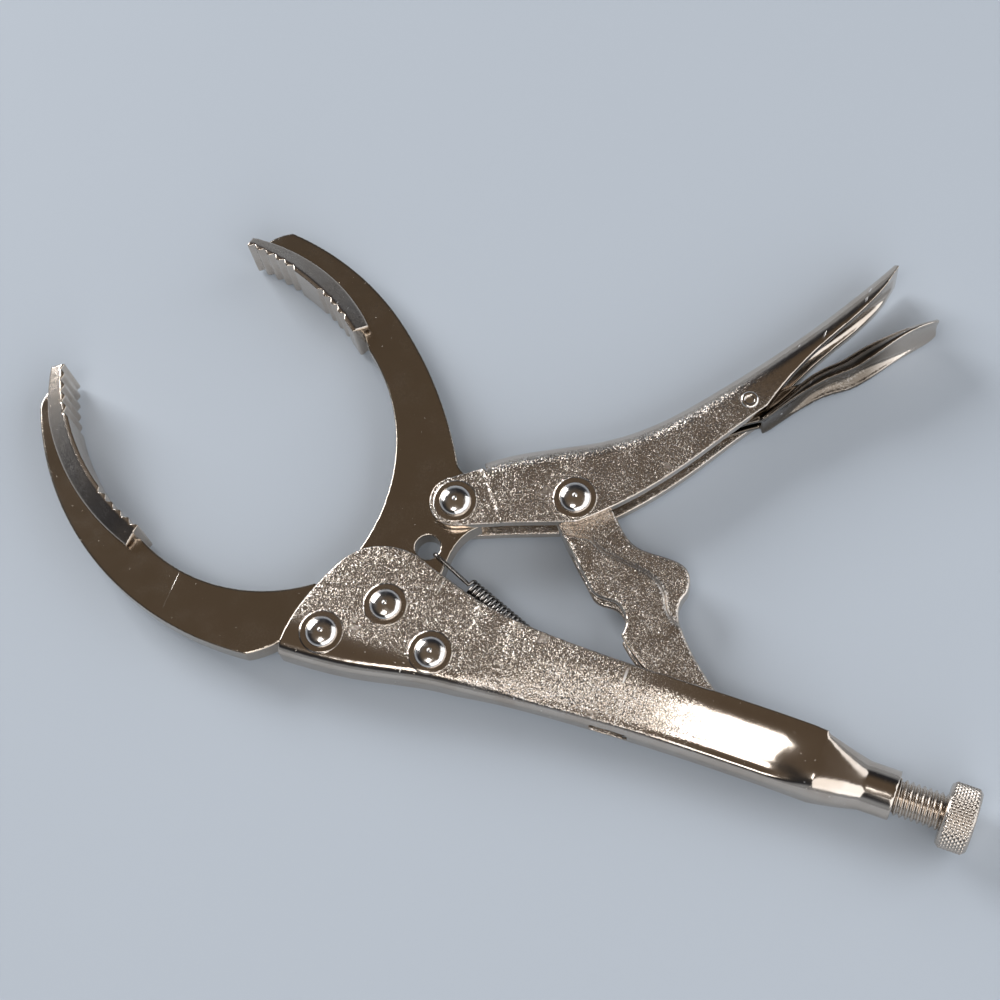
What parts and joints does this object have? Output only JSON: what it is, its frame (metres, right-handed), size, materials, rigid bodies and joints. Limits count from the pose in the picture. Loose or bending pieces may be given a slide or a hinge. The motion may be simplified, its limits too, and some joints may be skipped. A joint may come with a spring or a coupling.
{
  "type": "locking pliers",
  "caption": "Over-centre locking pliers with two curved jaws and toothed pads for gripping round canisters, adjusting screw and release lever.",
  "frame": {"origin": "centre of the round space between the two jaws, at the middle of the jaw plates", "axes": "+X along the adjusting screw towards its knob, +Y from the fixed handle towards the moving handle, +Z across the plates"},
  "size_m": [0.2265, 0.1341, 0.0142],
  "materials": {
    "sheet_nickel": "nickel plate on pressed steel sheet, finely blasted with smooth worn edges",
    "forged_nickel": "nickel plate on cut steel plate, smooth satin",
    "pad_nickel": "satin nickel plate",
    "rivet_nickel": "polished nickel plate",
    "screw_nickel": "bright nickel plate",
    "spring_steel": "bright drawn wire"
  },
  "bodies": {
    "fixed_body": {"fixed_handle": "sheet_nickel", "fixed_jaw": "forged_nickel", "fixed_jaw_pad": "pad_nickel", "fixed_jaw_rivet_front": "rivet_nickel", "fixed_jaw_rivet_rear": "rivet_nickel", "jaw_pivot_rivet": "rivet_nickel", "tension_spring": "spring_steel"},
    "jaw_body": {"moving_jaw": "forged_nickel", "moving_jaw_pad": "pad_nickel"},
    "handle_body": {"moving_handle": "sheet_nickel", "handle_pivot_rivet": "rivet_nickel", "link_pivot_rivet": "rivet_nickel", "lever_pivot_rivet": "rivet_nickel"},
    "link_body": {"toggle_link": "sheet_nickel"},
    "lever_body": {"release_lever": "sheet_nickel"},
    "screw_body": {"screw_shank": "screw_nickel"},
    "knob_body": {"screw_knob": "screw_nickel"}
  },
  "joints": [
    {"name": "handle_pivot", "type": "hinge", "parent": "jaw_body", "child": "handle_body", "pos_m": [0.0601, -0.0057, 0], "axis": [0, 0, 1], "range_deg": [-61.6, 0]},
    {"name": "jaw_pivot", "type": "hinge", "parent": "fixed_body", "child": "jaw_body", "pos_m": [0.0545, -0.033, 0], "axis": [0, 0, 1], "range_deg": [0, 21.3], "deforming": ["tension_spring"]},
    {"name": "link_pivot", "type": "hinge", "parent": "handle_body", "child": "link_body", "pos_m": [0.0848, 0.0036, 0], "axis": [0, 0, 1], "range_deg": [0, 59.7]},
    {"name": "lever_pivot", "type": "hinge", "parent": "handle_body", "child": "lever_body", "pos_m": [0.1133, 0.0378, 0], "axis": [0, 0, 1], "range_deg": [-4, 8]},
    {"name": "screw_turn", "type": "hinge", "parent": "screw_body", "child": "knob_body", "pos_m": [0.1827, -0.0349, 0], "axis": [1, 0, 0], "range_deg": [0, 3456]},
    {"name": "screw_travel", "type": "slide", "parent": "fixed_body", "child": "screw_body", "axis": [1, 0, 0], "range_m": [0, 0.012]}
  ],
  "couplings": [
    {"joint": "jaw_pivot", "follows": "handle_pivot", "ratio": -0.34578},
    {"joint": "link_pivot", "follows": "handle_pivot", "ratio": -0.96916},
    {"joint": "screw_travel", "follows": "screw_turn", "m_per_rad": 0.00019894}
  ]
}
